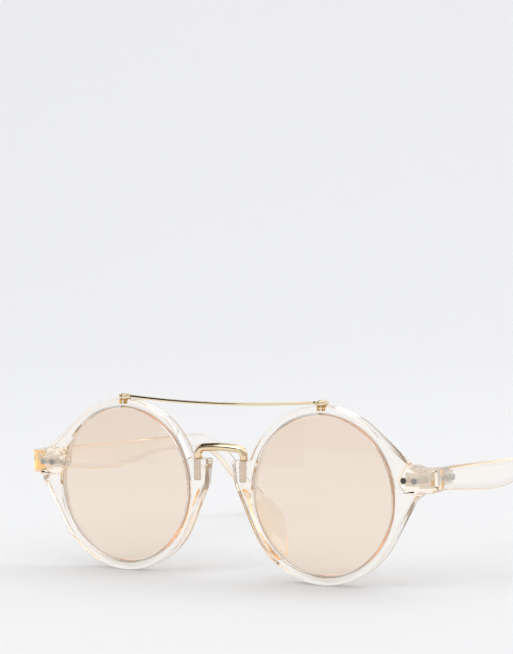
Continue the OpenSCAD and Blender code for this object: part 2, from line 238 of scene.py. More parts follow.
def safe_round(line, normal, radius, share=0.7, hold=6, smooth=3):
    """An edge radius for each point of an outline: the one asked for, but no more than a share of the
    outline's own corner radius, so that the inset line never crosses itself. The least value holds for a few
    points each way, and a Gaussian average eases it along the line."""
    chord = np.hypot(*(np.roll(line, -1, 0) - np.roll(line, 1, 0)).T)
    before, after = np.roll(normal, 1, 0), np.roll(normal, -1, 0)
    bend = (before[:, 0] * after[:, 1] - before[:, 1] * after[:, 0]) / chord
    limit = np.minimum(radius, share / np.maximum(bend, 1e-6))
    limit = np.stack([np.roll(limit, shift) for shift in range(-hold, hold + 1)]).min(0)
    spread = np.arange(-20, 21)
    weight = np.exp(-0.5 * (spread / smooth) ** 2)
    return (np.stack([np.roll(limit, shift) for shift in spread], -1) @ weight / weight.sum())[:, None]


def arc(centre, radius, start, end, count):
    """Points on a part of a circle, from one angle to another in degrees."""
    turn = np.radians(np.linspace(start, end, count))
    return np.array(centre) + radius * np.stack([np.cos(turn), np.sin(turn)], -1)


# ---- finishes ----

class Number:
    """A number on a socket. Sums, products and comparisons with it become Math nodes."""

    def __init__(self, finish, socket):
        self.finish, self.socket = finish, socket

    def calculate(self, operation, first, second):
        node = self.finish.add("ShaderNodeMath", {"operation": operation}, {0: first, 1: second})
        return Number(self.finish, node.outputs[0])

    def __add__(self, other):
        return self.calculate("ADD", self, other)

    def __radd__(self, other):
        return self.calculate("ADD", other, self)

    def __sub__(self, other):
        return self.calculate("SUBTRACT", self, other)

    def __rsub__(self, other):
        return self.calculate("SUBTRACT", other, self)

    def __mul__(self, other):
        return self.calculate("MULTIPLY", self, other)

    def __rmul__(self, other):
        return self.calculate("MULTIPLY", other, self)

    def __pow__(self, other):
        return self.calculate("POWER", self, other)

    def __abs__(self):
        return self.calculate("ABSOLUTE", self, 0.0)

    def __lt__(self, other):
        return self.calculate("LESS_THAN", self, other)

    def __gt__(self, other):
        return self.calculate("GREATER_THAN", self, other)


class Finish:
    """One material: its nodes are added here, and its shader's sockets are set here."""

    def __init__(self, name):
        self.material = bpy.data.materials.new(FINISH_NAME + name)
        self.material.use_nodes = True
        self.tree = self.material.node_tree
        self.tree.nodes.clear()
        self.output = self.tree.nodes.new("ShaderNodeOutputMaterial")
        self.shader = self.add("ShaderNodeBsdfPrincipled")
        self.tree.links.new(self.shader.outputs[0], self.output.inputs["Surface"])
        self.coords = self.add("ShaderNodeTexCoord").outputs["Object"]

    def add(self, kind, settings=None, sockets=None):
        """Adds a node: its settings first, then the values or links of its sockets."""
        node = self.tree.nodes.new(kind)
        for key, value in (settings or {}).items():
            setattr(node, key, value)
        for key, value in (sockets or {}).items():
            self.connect(node.inputs[key], value)
        return node

    def connect(self, socket, value):
        if isinstance(value, Number):
            value = value.socket
        if isinstance(value, bpy.types.NodeSocket):
            self.tree.links.new(value, socket)
        else:
            socket.default_value = value

    def shade(self, **sockets):
        for key, value in sockets.items():
            self.connect(self.shader.inputs[key.replace("_", " ")], value)

    def axis(self, name):
        """The object's own X, Y or Z, in metres."""
        return Number(self, self.add("ShaderNodeSeparateXYZ", None, {0: self.coords}).outputs[name])

    def stretched(self, scale):
        """The object's own coordinates, scaled along each axis."""
        return self.add("ShaderNodeMapping", None, {"Vector": self.coords, "Scale": scale}).outputs[0]

    def noise(self, scale, detail=2.0, roughness=0.5, coords=None):
        sockets = {"Vector": coords or self.coords, "Scale": scale, "Detail": detail, "Roughness": roughness}
        return Number(self, self.add("ShaderNodeTexNoise", None, sockets).outputs["Fac"])

    def mix(self, amount, first, second):
        """Goes from the first colour to the second as amount goes from 0 to 1. Each is three numbers or a link."""
        first, second = ((*each, 1) if isinstance(each, tuple) else each for each in (first, second))
        return self.add("ShaderNodeMix", {"data_type": "RGBA"}, {0: amount, 6: first, 7: second}).outputs[2]

    def bump(self, height, depth):
        """Turns a height from 0 to 1 into a normal, depth metres deep."""
        sockets = {"Height": height, "Distance": depth, "Strength": 1.0}
        return self.add("ShaderNodeBump", None, sockets).outputs[0]

    def absorb(self, colour, density, painted_glow, tint=(1, 1, 1)):
        """Tints light along its way through the body. The third argument sets a painted glow: light that the body
        emits, standing in for the light that it gathers from all sides. Tint is the colour of that painted glow.
        """
        body = self.add("ShaderNodeVolumeAbsorption", None, {"Color": (*colour, 1), "Density": density})
        glow = self.add("ShaderNodeEmission", None, {"Color": (*tint, 1), "Strength": painted_glow})
        both = self.add("ShaderNodeAddShader", None, {0: body.outputs[0], 1: glow.outputs[0]})
        self.tree.links.new(both.outputs[0], self.output.inputs["Volume"])


def clear_plastic(look, name, depth):
    """Injection-moulded clear plastic: polished, faintly wavy, amber where light runs far through it, with a painted
    glow in its body. Depth says how many times stronger the amber is, and raises the painted glow with it."""
    finish = Finish(name)
    waves = finish.noise(90, 2)
    specks = finish.noise(1400, 3, 0.6)
    finish.shade(
        Base_Color=finish.mix(waves, (0.93, 0.96, 1.0), (0.945, 0.965, 1.0)),
        Roughness=specks * 0.012,
        Normal=finish.bump(waves + specks * 0.01, 0.01 * MM),
        Transmission_Weight=1.0,
        IOR=1.49,
    )
    # painted glow: light emitted in the body, stronger where the amber is deeper
    painted_glow = look.plastic_painted_glow * (0.5 + 0.5 * depth)
    finish.absorb(look.plastic_colour, look.plastic_density * depth, painted_glow, look.plastic_painted_glow_colour)
    return finish.material


def tinted_lens(look):
    """Peach-tinted lens: even tint in the body, a little deeper towards the top, faint dust on the face.
    Its edge, the last 0.6 mm, is ground and darker."""
    finish = Finish("tinted_lens")
    height = finish.axis("Z")
    rise = (height * (1 / (2 * RIM_R * MM))) ** 1.5
    sideways, upwards = abs(finish.axis("X")) - LENS_X * MM, height - ORIGIN[2] * MM
    ground = (sideways * sideways + upwards * upwards) ** 0.5 > (LENS_EDGE_R - 0.6) * MM
    dust = finish.noise(900, 4, 0.7)
    face = finish.mix(rise, tuple(look.lens_low_colour), tuple(look.lens_top_colour))
    finish.shade(
        Base_Color=finish.mix(ground, face, tuple(look.ground_colour)),
        Roughness=0.004 + dust * 0.012 + ground * 0.2,
        Normal=finish.bump(finish.noise(60, 1), 0.004 * MM),
        Transmission_Weight=1.0,
        IOR=1.42,
    )
    # painted glow in the lens: emitted light standing in for light gathered in it
    finish.absorb(look.lens_colour, look.lens_density, look.lens_painted_glow)
    return finish.material


def gilt_metal(look):
    """Polished gilt plating: warm patches, hairline rubbing marks and a slight orange-peel. The legs sunk in the
    plastic carry a painted glow.
    """
    finish = Finish("gilt_metal")
    patches = finish.noise(220, 3)
    hairs = finish.noise(900, 3, 0.6, finish.stretched((0.15, 1, 2.5)))
    plated = finish.mix(patches, tuple(look.gilt_colour), tuple(look.gilt_deep_colour))
    # the legs sunk in the plastic, below the collars, were never plated
    sunk = finish.axis("Z") < (ORIGIN[2] + group("bridge").lug_top / MM) * MM
    finish.shade(
        Base_Color=finish.mix(sunk, plated, tuple(look.bare_colour)),
        # painted glow on the sunk legs, in the bare brass colour: emitted light standing in for light that the
        # plastic gathers onto them
        Emission_Color=finish.mix(sunk, (0, 0, 0), tuple(look.bare_colour)),
        Emission_Strength=look.painted_sunk_glow,
        Metallic=1.0,
        Roughness=0.03 + hairs * 0.06,
        Normal=finish.bump(patches * 0.7 + hairs * 0.15, 0.01 * MM),
    )
    return finish.material


def brushed_metal(name, colour, rough, glow):
    """Satin hinge metal: fine brushing across it and darker spots of wear. The front ends of the pins are darkened
    with painted shade: the inner pin of each hinge more than the outer one, the left pair more than the right. The
    metal also emits a painted glow, set by glow, that stands in for light the plastic gathers onto it."""
    finish = Finish(name)
    ends = finish.axis("Y") < (ORIGIN[1] + FRONT_Y + 0.9) * MM
    across = finish.axis("X")
    side = abs(across)
    # painted shade on the pins' front ends: deeper on the left pair and on the inner pin of each hinge
    painted_end_shade = ends * (side > 40 * MM) * (0.45 + 0.55 * (across > 0.0)) * (0.45 + 0.55 * (side < 65.2 * MM))
    brushing = finish.noise(2600, 3, 0.7, finish.stretched((1, 1, 0.08)))
    satin = finish.mix(finish.noise(500, 3), colour, tuple(0.75 * part for part in colour))
    face = finish.mix(painted_end_shade, satin, (0.02, 0.018, 0.016))
    # the face also glows with painted light: its own colour emitted at the glow strength
    finish.shade(
        Base_Color=face,
        Emission_Color=face,
        Emission_Strength=glow,
        Metallic=0.2,
        Roughness=rough + brushing * 0.25,
        Normal=finish.bump(brushing, 0.004 * MM),
    )
    return finish.material


def floor_finish(look):
    """Matt pale paper with a faint tooth."""
    finish = Finish("pale_paper")
    tooth = finish.noise(700, 4, 0.6)
    pale = tuple(look.floor_colour)
    finish.shade(
        Base_Color=finish.mix(tooth, pale, tuple(0.985 * part for part in pale)),
        Roughness=0.75 + tooth * 0.1,
        Normal=finish.bump(tooth, 0.02 * MM),
    )
    return finish.material


def black_card():
    """Matt black card, a little uneven."""
    finish = Finish("black_card")
    finish.shade(Base_Color=finish.mix(finish.noise(40), (0.004, 0.004, 0.004), (0.012, 0.011, 0.011)), Roughness=0.9)
    return finish.material


# ---- rims ----

def rim_outline(s):
    """The rim seen from the front about its lens centre: the end piece, the ring and the bridge lug."""
    up = RIM_R * np.array([math.cos(s.upper_tangent), math.sin(s.upper_tangent)])
    low = RIM_R * np.array([math.cos(s.lower_tangent), math.sin(s.lower_tangent)])
    top, bottom = s.end_top / MM, s.end_bottom / MM
    fillet = s.end_fillet / MM
    fall = math.pi / 2 - s.upper_tangent
    fillet_u = up[0] + (up[1] - top) * math.tan(s.upper_tangent) + fillet * math.tan(fall / 2)
    foot_u = low[0] + (bottom - low[1]) * math.tan(-s.lower_tangent)
    out_u, lug_u = SIDE_X - LENS_X, LUG_X - LENS_X
    lug_top = s.lug_top / MM
    lug_angle = 180 - math.degrees(math.asin(lug_top / RIM_R))
    return np.concatenate([
        [[foot_u, bottom], [out_u, bottom], [out_u, top]],
        arc((fillet_u, top + fillet), fillet, 270, 270 - math.degrees(fall), 24),
        arc((0, 0), RIM_R, math.degrees(s.upper_tangent), lug_angle, 90),
        [[lug_u, lug_top], [lug_u + s.lug_taper / MM, s.lug_foot / MM]],
        arc((0, 0), RIM_R, math.degrees(s.lug_tangent), 360 + math.degrees(s.lower_tangent), 120),
    ])


def rim_grid(s):
    """Each ring of the rim's section follows the outline: flat front, rounded edge, outer wall,
    rounded edge, flat back, then the round opening with its lens groove."""
    line = soften(rim_outline(s), s.corner_round / MM, OUTLINE_POINTS)
    normal = outward(line)
    # the inner circle's points keep to the outline's angles, but never turn back under the end piece
    angle = np.unwrap(np.arctan2(line[:, 1], line[:, 0]))
    even = angle[0] + np.linspace(0, 2 * np.pi, len(line), endpoint=False)
    angle = 0.85 * np.maximum.accumulate(angle) + 0.15 * even
    inward = np.stack([np.cos(angle), np.sin(angle)], -1)
    front_round = safe_round(line, normal, s.front_round / MM)
    back_round, lip = safe_round(line, normal, s.back_round / MM), s.lip / MM
    corner, back_y = s.end_corner / MM, FRONT_Y + s.thickness / MM
    opening = LENS_EDGE_R - s.lens_overlap / MM
    groove, groove_y = LENS_EDGE_R + s.groove_clearance / MM, s.groove_place / MM

    def front(u):
        reach = np.clip(u + LENS_X - (SIDE_X - corner), 0, 0.98 * corner)
        return FRONT_Y + corner - np.sqrt(corner ** 2 - reach ** 2)

    def back(u):
        return back_y + (END_BACK_Y - 0.03 - back_y) * ease((u + LENS_X - s.end_step / MM) / 1.3)

    def ring(flat, y):
        return np.stack([flat[:, 0] + LENS_X, np.broadcast_to(y, len(flat)), flat[:, 1]], -1)

    rings = []
    for part in np.linspace(0, 1, FACE_RINGS):
        flat = inward * (opening + lip) * (1 - part) + (line - normal * front_round) * part
        rings.append(ring(flat, front(flat[:, 0])))
    for turn in np.radians([18, 36, 54, 72, 90]):
        flat = line - normal * front_round * (1 - math.sin(turn))
        rings.append(ring(flat, front(flat[:, 0]) + front_round[:, 0] * (1 - math.cos(turn))))
    for turn in np.radians([90, 60, 30, 0]):
        flat = line - normal * back_round * (1 - math.sin(turn))
        rings.append(ring(flat, back(flat[:, 0]) - back_round[:, 0] * (1 - math.cos(turn))))
    for part in np.linspace(0, 1, FACE_RINGS)[1:]:
        flat = (line - normal * back_round) * (1 - part) + inward * (opening + 0.3) * part
        rings.append(ring(flat, back(flat[:, 0])))
    seat = [
        (opening + 0.08, back_y - 0.08), (opening, back_y - 0.3), (opening, groove_y + 0.95),
        (groove, groove_y + 0.5), (groove, groove_y - 0.5), (opening, groove_y - 0.95), (opening, FRONT_Y + lip),
        (opening + 0.3 * lip, FRONT_Y + 0.3 * lip), (opening + lip, FRONT_Y),
    ]
    rings += [ring(inward * radius, y) for radius, y in seat]
    return np.array(rings)


def hinge_block_grid(s):
    """The raised block behind the end piece: a round inner end and straight sides, rounded at its back edge."""
    radius, centre_x = s.block_round / MM, s.block_centre / MM
    top, bottom, far = s.end_top / MM, s.end_bottom / MM, SIDE_X - 3
    line = soften(np.concatenate([
        arc((centre_x, HINGE_Z), radius, 90, 270, 40),
        [[centre_x + 1.8, HINGE_Z - radius + 0.15], [centre_x + 3.4, bottom + 0.15], [far, bottom + 0.15],
         [far, top - 0.15], [centre_x + 3, top - 0.15], [centre_x + 1.2, HINGE_Z + radius - 0.3]],
    ]), 0.25, 220)
    normal = outward(line)
    edge = 0.35
    rows = [(None, 0.0), (0.0, 0.0), (0.0, END_BACK_Y - edge)]
    rows += [(edge * (1 - math.cos(t)), END_BACK_Y - edge * (1 - math.sin(t))) for t in np.radians([30, 60, 90])]
    rows += [(edge + 0.3, END_BACK_Y), (None, END_BACK_Y)]
    middle = np.tile([centre_x + 1, HINGE_Z], (len(line), 1))
    rings = []
    for inset, y in rows:
        flat = middle if inset is None else line - normal * inset
        rings.append(np.stack([flat[:, 0], np.full(len(line), y), flat[:, 1]], -1))
    return np.array(rings)


def hinge_pocket_grids(s):
    """The room in the block for the hinge plate and its knuckles: two bars with nearly square sections."""
    clear = 0.06
    low, high = hinge_low - ORIGIN, hinge_high - ORIGIN
    plate_y = s.plate_place / MM - clear
    half = (high[2] - low[2]) / 2
    plate = low[0], high[0], plate_y, half - 0.55
    knuckles = high[0] - 2.5, high[0], plate_y + 0.6, half
    share = np.array([0, 1, 1, 0])
    grids = []
    for x0, x1, y0, z_half in (plate, knuckles):
        y = np.array([y0, y0, END_BACK_Y + 1, END_BACK_Y + 1])
        path = np.stack([np.full(4, (x0 + x1) / 2), y, np.full(4, HINGE_Z)], -1)
        grids.append(sweep(path, X_AXIS, Z_AXIS, share * ((x1 - x0) / 2 + clear), share * (z_half + clear), 12))
    return grids


def combine(base, other, operation):
    """Joins a second closed piece to the first, or cuts it away, and drops the second object."""
    base.modifiers.clear()
    other.modifiers.clear()
    change = base.modifiers.new(operation, "BOOLEAN")
    change.operation, change.solver, change.object = operation, "MANIFOLD", other
    bpy.context.view_layer.update()
    result = bpy.data.meshes.new_from_object(base.evaluated_get(bpy.context.evaluated_depsgraph_get()))
    base.modifiers.clear()
    base.data = result
    flatten(base)
    bpy.data.objects.remove(other)
    if not result.polygons:
        raise RuntimeError(base.name + " came out empty")
    smooth(result, SHARP)


# ---- other plastic pieces ----

def lens_profile(s):
    """Front and back are parts of spheres; the edge between them is a bevel that sits in the groove."""
    curve, thick, plane = s.curve_radius / MM, s.thickness / MM, s.edge_place / MM
    face = LENS_EDGE_R - s.bevel / MM
    radius = np.linspace(0, face, 28)
    sag = curve - math.sqrt(curve ** 2 - face ** 2)
    vertex = plane - thick / 2 - sag
    front = vertex + curve - np.sqrt(curve ** 2 - radius ** 2)
    back = vertex + curve - np.sqrt((curve - thick) ** 2 - radius ** 2)
    edge = [[LENS_EDGE_R, plane - 0.2], [LENS_EDGE_R, plane + 0.2]]
    return np.concatenate([np.stack([radius, front], -1), edge, np.stack([radius, back], -1)[::-1]])


def nose_pad_grid(s):
    """A fin on the back of the rim. Going down it (t from 0 to 1) its foot follows the rim's nose side;
    its reach is a rounded hump, and each section narrows to a round free edge."""
    steps = 56
    t = np.linspace(0, 1, steps)
    top, bottom = pad_high[2] - ORIGIN[2], pad_low[2] - ORIGIN[2]
    z = top + (bottom - top) * t
    tangent = math.radians(204)
    tangent_z = RIM_R * math.sin(tangent)
    on_ring = LENS_X - np.sqrt(np.maximum(RIM_R ** 2 - z ** 2, 0))
    on_lug = LENS_X + RIM_R * math.cos(tangent) - (z - tangent_z) * math.tan(tangent - math.pi)
    foot_x = np.where(z < tangent_z, on_ring, on_lug) + s.foot_width / MM / 2 + 0.2
    hump = np.sin(np.pi * t ** 0.85) ** 0.75
    reach = 0.5 + (s.depth / MM - 0.5) * hump
    fullness = 0.45 + 0.55 * np.sqrt(np.clip(hump * 3, 0, 1))
    root_half, tip_half = s.foot_width / MM / 2 * fullness, s.edge_width / MM / 2 * fullness
    rise = np.linspace(0, 1, 12)
    turn = np.linspace(0, np.pi, 9)[1:-1]
    # along the fin, and across it, for the nose side, the round edge and the lens side
    run = np.concatenate([rise, np.ones(len(turn)), rise[::-1]])
    bulge = np.concatenate([np.zeros(12), np.sin(turn), np.zeros(12)])
    half = root_half[:, None] + (tip_half - root_half)[:, None] * ease(run) ** 0.8
    across = np.concatenate([-np.ones(12), -np.cos(turn), np.ones(12)]) * half
    flare = 0.6 * (reach[:, None] * run / 8) ** 2
    along = reach[:, None] * run + bulge * tip_half[:, None]
    x = foot_x[:, None] + across * math.cos(s.splay) + (along + flare) * math.sin(s.splay)
    y = s.foot_place / MM + along * math.cos(s.splay) - across * math.sin(s.splay)
    grid = np.stack([x, y, np.broadcast_to(z[:, None], x.shape)], -1)
    return close_ends(grid)


def temple_grid(s):
    """A bar carried back from the hinge, down round the ear and to a round tip. Its top is a straight line
    and an arc; its underside hangs below by a belly that rises and falls as half cosine waves."""
    straight, ear_r = s.straight / MM, s.ear_radius / MM
    slope, bend = s.slope, s.ear_bend
    slim, tip_h = s.slim_height / MM, s.tip_height / MM
    start_z = TEMPLE_TOP - slim / 2
    bend_len = ear_r * bend
    hook_y = TEMPLE_Y + straight * math.cos(slope) + ear_r * (math.sin(slope + bend) - math.sin(slope))
    hook_z = start_z - straight * math.sin(slope) - ear_r * (math.cos(slope) - math.cos(slope + bend))
    hook_len = (hook_z + RIM_R - tip_h / 2) / math.sin(slope + bend)
    length = straight + bend_len + hook_len
    tip_turn = np.linspace(0, np.pi / 2, 14)
    run = np.concatenate([
        np.linspace(0, 2, 8)[:-1], np.linspace(2, length, 150), length + tip_h / 2 * np.sin(tip_turn[1:]),
    ])
    heading = -slope - bend * np.clip((run - straight) / bend_len, 0, 1)
    on_arc = np.clip(run - straight, 0, bend_len) / ear_r
    past = np.maximum(run - straight - bend_len, 0)
    flat = np.minimum(run, straight)
    here, end = slope + on_arc, slope + bend
    y = TEMPLE_Y + flat * math.cos(slope) + ear_r * (np.sin(here) - math.sin(slope)) + past * math.cos(end)
    z = start_z - flat * math.sin(slope) - ear_r * (math.cos(slope) - np.cos(here)) - past * math.sin(end)
    half = slim / 2 + (tip_h - slim) / 2 * ease((run - straight) / (length - straight))
    root, deep = s.root_belly / MM, s.belly / MM
    deep_at, end_at = s.belly_at / MM, s.belly_end / MM
    rising = root + (deep - root) * ease(run / deep_at)
    falling = deep * (1 - ease((run - deep_at) / (end_at - deep_at)))
    belly = np.where(run < deep_at, rising, falling)
    normal = np.stack([-np.sin(heading), np.cos(heading)], -1)
    middle = np.stack([y, z], -1) - normal * belly[:, None] / 2
    tall = half + belly / 2
    # the round tip, and the square front end with its edges broken
    over = np.clip((run - length) / (tip_h / 2), 0, 1)
    tall = tall * np.sqrt(1 - over ** 2)
    edge = s.edge_break / MM
    broken = np.sqrt(np.maximum(1 - (1 - np.clip(run / edge, 0, 1)) ** 2, 0))
    inset = s.tip_inset / MM * np.clip((y - s.inset_from / MM) / (y[-1] + tip_h / 2 - s.inset_from / MM), 0, 1) ** 2
    thick = s.root_thickness / MM + (s.slim_thickness - s.root_thickness) / MM * ease((y - 19) / 60)
    half_x = thick / 2 * (1 - over ** 4) ** 0.5
    centre_x = SIDE_X - inset - thick / 2
    path = np.stack([centre_x, middle[:, 0], middle[:, 1]], -1)
    # the first rings stand upright at the joint, later ones square to the line
    lean = ease(run / 3)[:, None]
    upright = np.array([0.0, 1.0])
    turned = upright * (1 - lean) + normal * lean
    up = np.stack([np.zeros(len(run)), turned[:, 0], turned[:, 1]], -1)
    grid = sweep(path, X_AXIS, up, half_x - edge * (1 - broken), tall - edge * (1 - broken), 4.5)
    return close_ends(grid)


# ---- metalwork ----

def bridge_grid(s):
    """One bar from foot to foot: a flat leg sunk in each lug, a round collar, a tight bend and a low arch."""
    leg_x, leg_foot = s.leg_place / MM, bridge_low[2] - ORIGIN[2]
    radius, bend_r, arch_r = s.bar / MM / 2, s.bend_radius / MM, s.arch_radius / MM
    collar_z = s.lug_top / MM
    bend_z = collar_z + s.collar / MM
    arch_x = leg_x - bend_r
    swing = math.asin(arch_x / (arch_r - bend_r))
    arch_z = bend_z - (arch_r - bend_r) * math.cos(swing)
    leg_z = np.concatenate([[leg_foot, leg_foot + 0.02, leg_foot + 0.2], np.linspace(leg_foot + 0.5, collar_z, 8)])
    neck_z = np.array([collar_z + 0.01, collar_z + 0.1, collar_z + 0.25, bend_z])
    bend = arc((arch_x, bend_z), bend_r, 0, 90 - math.degrees(swing), 20)[1:]
    half_arch = arc((0, arch_z), arch_r, 90 - math.degrees(swing), 90, 30)[1:]
    climb = np.concatenate([leg_z, neck_z])
    line = np.concatenate([np.stack([np.full(len(climb), leg_x), climb], -1), bend, half_arch])
    step = np.gradient(line, axis=0)
    step[: len(climb)] = (0, 1)
    step /= np.hypot(*step.T)[:, None]
    count = len(line)
    in_leg = np.arange(count) < len(leg_z)
    half_a = np.where(in_leg, s.leg_width / MM / 2, radius)
    half_b = np.where(in_leg, s.leg_depth / MM / 2, radius)
    half_a[0] = half_b[0] = 0
    half_a[1], half_b[1] = half_a[2] - 0.2, half_b[2] - 0.2
    half_a[len(leg_z)], half_b[len(leg_z)] = radius - 0.25, radius - 0.25
    half_a[len(leg_z) + 1], half_b[len(leg_z) + 1] = radius - 0.08, radius - 0.08
    power = np.where(in_leg, 7.0, 2.0)
    path = np.stack([line[:, 0], np.full(count, s.depth_place / MM), line[:, 1]], -1)
    normal = np.stack([step[:, 1], np.zeros(count), -step[:, 0]], -1)
    grid = sweep(path, normal, Y_AXIS, half_a, half_b, power)
    return np.concatenate([grid, (grid * (-1, 1, 1))[::-1][1:]])


def brow_bar_grid(s):
    """A thin strip that dips and bows towards its middle as a parabola, and swells to a round pad at each end."""
    pad_r, pad_h, bar_h = s.pad_radius / MM, s.pad_height / MM / 2, s.height / MM / 2
    end_x = LENS_X + pad_r
    near = np.sin(np.linspace(0, np.pi / 2, 24)) * 2 * pad_r
    inner_x = end_x - 2 * pad_r
    x = np.concatenate([-inner_x - near, np.linspace(-inner_x, inner_x, 90), inner_x + near])
    x = np.unique(np.round(x, 6))
    off = np.abs(x) - LENS_X
    tip = 0.03                                   # half width left at each tip
    pad = np.sqrt(np.maximum(pad_r ** 2 - off ** 2, tip ** 2))
    wide = np.maximum(pad, np.where(np.abs(x) < LENS_X, s.depth / MM / 2, 0))
    share = ease((np.abs(x) - (LENS_X - 1.5 * pad_r)) / pad_r)
    tall = bar_h + (pad_h - bar_h) * share
    tall = tall * np.where(off > 0, 1 - 0.45 * np.clip(off / pad_r, 0, 1) ** 3, 1)
    hang = np.maximum(1 - (x / LENS_X) ** 2, 0)
    top = s.top / MM - s.dip / MM * hang
    y = s.depth_place / MM - s.bow / MM * hang
    # one more ring at each end, shrunk to a point, closes it
    path = np.pad(np.stack([x, y, top - tall], -1), ((1, 1), (0, 0)), "edge")
    return sweep(path, Y_AXIS, Z_AXIS, np.pad(wide, 1), np.pad(tall, 1), 6)


def bush_profile(s):
    """A short plated cup with a rounded lip and a groove round its middle."""
    radius, length = s.bush_radius / MM, bush_high[2] - bush_low[2]
    return np.array([
        [0, 0], [radius - 0.35, 0], [radius - 0.1, 0.08], [radius, 0.3], [radius, 0.62 * length],
        [radius - 0.12, 0.66 * length], [radius - 0.12, 0.74 * length], [radius, 0.78 * length],
        [radius, length - 0.06], [radius - 0.08, length], [0, length],
    ])


def brow_screw_profile(s):
    """A thin shank under a domed head."""
    shank, head, dome = s.screw_radius / MM, s.head_radius / MM, s.head_height / MM
    turn = np.linspace(0, np.pi / 2, 9)
    cap = np.stack([head * np.cos(turn), dome * np.sin(turn)], -1)
    foot = -(s.top / MM - (bush_low[2] - ORIGIN[2])) + 0.6
    return np.concatenate([[[0, foot], [shank, foot], [shank, -0.02], [head, -0.02]], cap])


# ---- sizes and colours that a user may change ----

def number(name, value, description, **more):
    """A plain number property."""
    return bpy.props.FloatProperty(name=name, description=description, default=value, **more)


def length(name, value, description):
    """A length property, given in millimetres."""
    return number(name, value * MM, description, unit="LENGTH", precision=5)


def angle(name, value, description):
    """An angle property, given in degrees."""
    return number(name, math.radians(value), description, subtype="ANGLE")


def colour(name, value, description):
    return bpy.props.FloatVectorProperty(
        name=name, description=description, default=value, size=3, min=0, max=1, subtype="COLOR"
    )


class SunglassesRim(bpy.types.PropertyGroup):
    upper_tangent: angle("Upper tangent", 50, "Where the end piece leaves the ring above")
    lower_tangent: angle("Lower tangent", -30, "Where the end piece leaves the ring below")
    lug_tangent: angle("Lug tangent", 204, "Where the bridge lug leaves the ring")
    end_top: length("End top", 9.4, "Top of the end piece above the lens centre")
    end_bottom: length("End bottom", 2.2, "Bottom of the end piece above the lens centre")
    end_fillet: length("End fillet", 7, "Hollow where the ring runs into the end piece")
    end_corner: length("End corner", 5, "Rounded corner from the front to the side")
    end_step: length("End step", 66.2, "Where the end piece becomes thicker, from the middle of the frame")
    lug_top: length("Lug top", 9.3, "Top of the bridge lug above the lens centre")
    lug_foot: length("Lug foot", 2, "Foot of the bridge lug's straight side")
    lug_taper: length("Lug taper", 0.7, "How far the lug's foot stands back from its top")
    corner_round: length("Corner rounding", 0.5, "Softening of the outline's corners")
    front_round: length("Front edge", 1.05, "Radius of the outer front edge")
    back_round: length("Back edge", 0.7, "Radius of the outer back edge")
    lip: length("Lip", 0.3, "Bevel round the front of the opening")
    thickness: length("Thickness", 4.4, "Thickness from front to back")
    lens_overlap: length("Lens overlap", 0.6, "How far the lens runs into its groove")
    groove_clearance: length("Groove clearance", 0.1, "Room beyond the lens edge")
    groove_place: length("Groove place", 0.3, "Middle of the groove, behind the frame's middle plane")
    block_round: length("Block rounding", 4.4, "Radius of the hinge block's inner end")
    block_centre: length("Block centre", 64.9, "Centre of that rounding, from the middle of the frame")
    plate_place: length("Plate place", 4.4, "Front of the hinge plate")


class SunglassesLens(bpy.types.PropertyGroup):
    curve_radius: length("Curve", 265, "Radius of the front surface")
    thickness: length("Thickness", 1.8, "Thickness of the lens")
    edge_place: length("Edge place", 0.3, "Plane of the lens edge")
    bevel: length("Bevel", 1, "Width of the bevel at the edge")


class SunglassesPad(bpy.types.PropertyGroup):
    foot_width: length("Foot width", 2.4, "Width of the pad where it meets the rim")
    edge_width: length("Edge width", 1.3, "Width of the free edge")
    foot_place: length("Foot place", 2.1, "Where the foot starts, just inside the rim's back")
    depth: length("Depth", 8.6, "How far the pad stands back")
    splay: angle("Splay", 26, "How far the pad leans away from the nose")


class SunglassesTemple(bpy.types.PropertyGroup):
    straight: length("Straight", 86, "Length before the ear bend")
    slope: angle("Slope", 2.2, "Fall of the temple towards the ear")
    ear_bend: angle("Ear bend", 40, "Turn of the ear end")
    ear_radius: length("Ear radius", 30, "Radius of the ear bend")
    slim_height: length("Slim height", 4.6, "Height of the slim part")
    tip_height: length("Tip height", 6.2, "Height of the round tip")
    root_belly: length("Root belly", 2.2, "Extra height at the hinge")
    belly: length("Belly", 4.1, "Extra height where the temple is deepest")
    belly_at: length("Belly place", 37, "Where the temple is deepest")
    belly_end: length("Belly end", 70, "Where the extra height ends")
    root_thickness: length("Root thickness", 4, "Thickness at the hinge")
    slim_thickness: length("Slim thickness", 3.2, "Thickness of the slim part")
    tip_inset: length("Tip inset", 4, "How far the tip curves inwards")
    inset_from: length("Inset from", 88, "Where the inward curve starts")
    edge_break: length("Edge break", 0.35, "Rounding of the front end")


class SunglassesBridge(bpy.types.PropertyGroup):
    bar: length("Bar", 2.5, "Diameter of the round bar")
    bend_radius: length("Bend radius", 2.2, "Radius of each bend")
    arch_radius: length("Arch radius", 60, "Radius of the low arch")
    collar: length("Collar", 1.2, "Straight part above each lug")
    leg_place: length("Leg place", 8.2, "Legs, from the middle of the frame")
    leg_width: length("Leg width", 2.2, "Width of a leg")
    leg_depth: length("Leg depth", 1.5, "Depth of a leg")
    lug_top: length("Lug top", 9.3, "Top of the lugs above the lens centre")
    depth_place: length("Depth place", -0.4, "Middle of the bar from front to back")


class SunglassesBrow(bpy.types.PropertyGroup):
    height: length("Height", 0.9, "Height of the strip")
    depth: length("Depth", 1.7, "Depth of the strip from front to back")
    dip: length("Dip", 1.4, "How far the middle hangs below the ends")
    bow: length("Bow", 1.1, "How far the middle stands forward")
    top: length("Top", 28.2, "Top of the ends above the lens centre")
    depth_place: length("Depth place", 0.2, "Fixing points from front to back")
    pad_radius: length("Pad radius", 2, "Radius of the round ends")
    pad_height: length("Pad height", 1.4, "Height of the round ends")
    bush_radius: length("Bush radius", 1.5, "Radius of the bushes sunk in the rims")
    screw_radius: length("Screw radius", 0.6, "Radius of the screws' shanks")
    head_radius: length("Head radius", 1.3, "Radius of the screws' heads")
    head_height: length("Head height", 0.3, "Height of the screws' heads")


